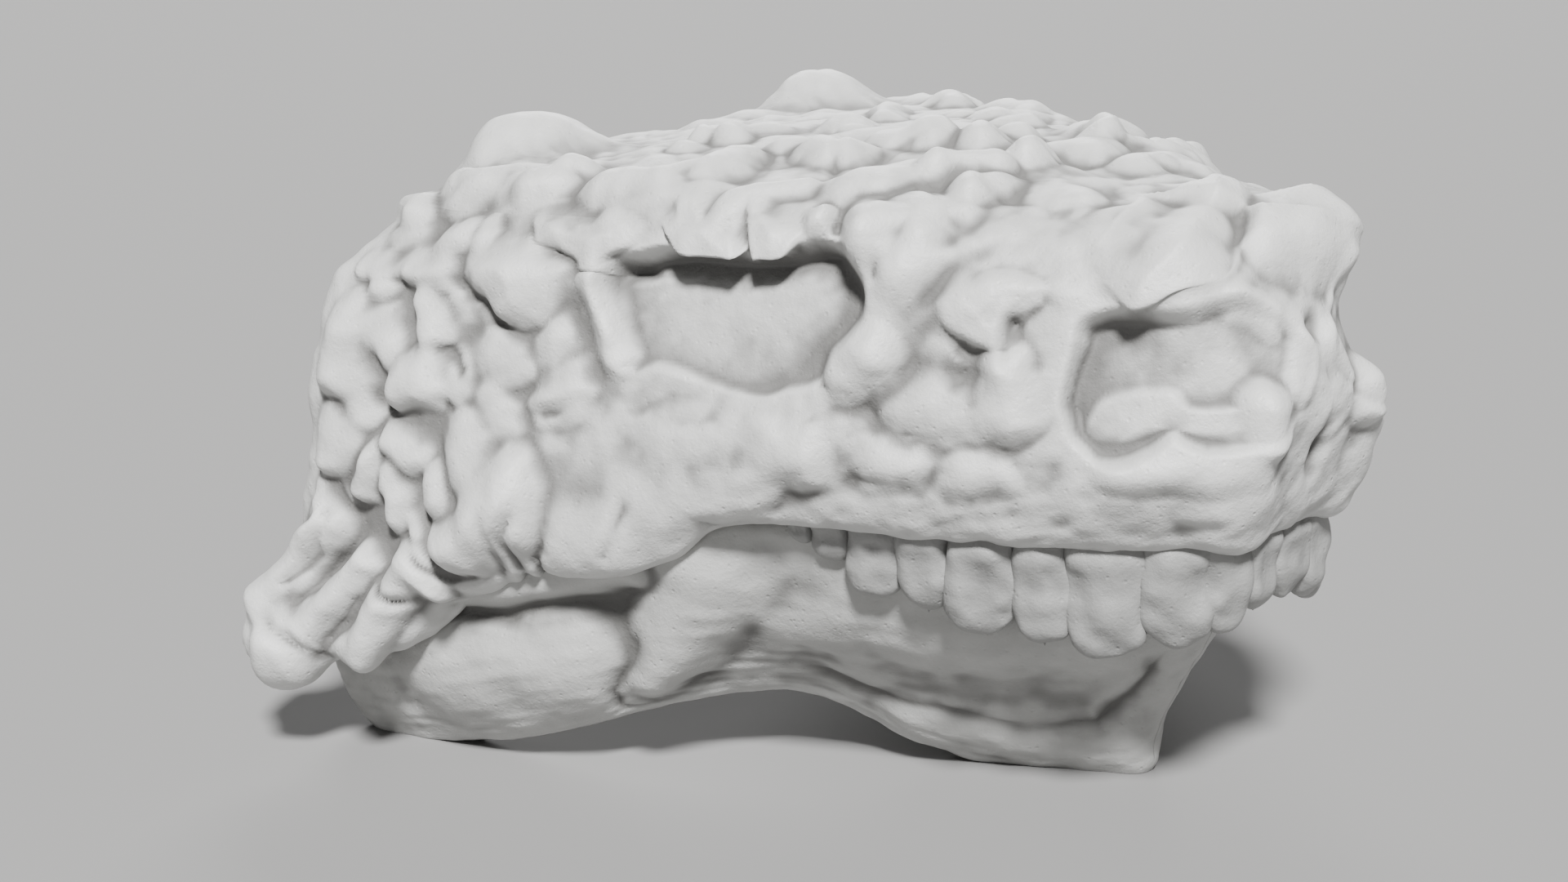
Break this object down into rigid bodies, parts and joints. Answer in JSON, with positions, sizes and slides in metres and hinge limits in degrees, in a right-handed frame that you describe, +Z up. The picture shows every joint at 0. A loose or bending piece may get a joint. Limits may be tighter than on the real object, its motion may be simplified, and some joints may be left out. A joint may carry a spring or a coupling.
{
  "type": "pareiasaur skull",
  "caption": "Life-size pareiasaur skull with closed jaws, knobbly roof, flared cheeks and peg-like upper teeth, resting on its lower jaw.",
  "frame": {"origin": "on the floor under the middle of the skull's length and width", "axes": "+X towards the tip of the snout, +Y towards the animal's left, +Z up"},
  "size_m": [0.4278, 0.4632, 0.2723],
  "materials": {
    "skull_bone": "dull pale grey fossil bone, like an unpainted cast",
    "jaw_bone": "dull pale grey fossil bone, like an unpainted cast"
  },
  "bodies": {
    "root": {"snout": "skull_bone", "upper_jaw": "skull_bone", "skull_roof": "skull_bone", "orbit_right": "skull_bone", "orbit_left": "skull_bone", "cheek_right": "skull_bone", "cheek_left": "skull_bone", "occiput": "skull_bone", "lower_jaw_right": "jaw_bone", "lower_jaw_left": "jaw_bone"}
  },
  "joints": []
}
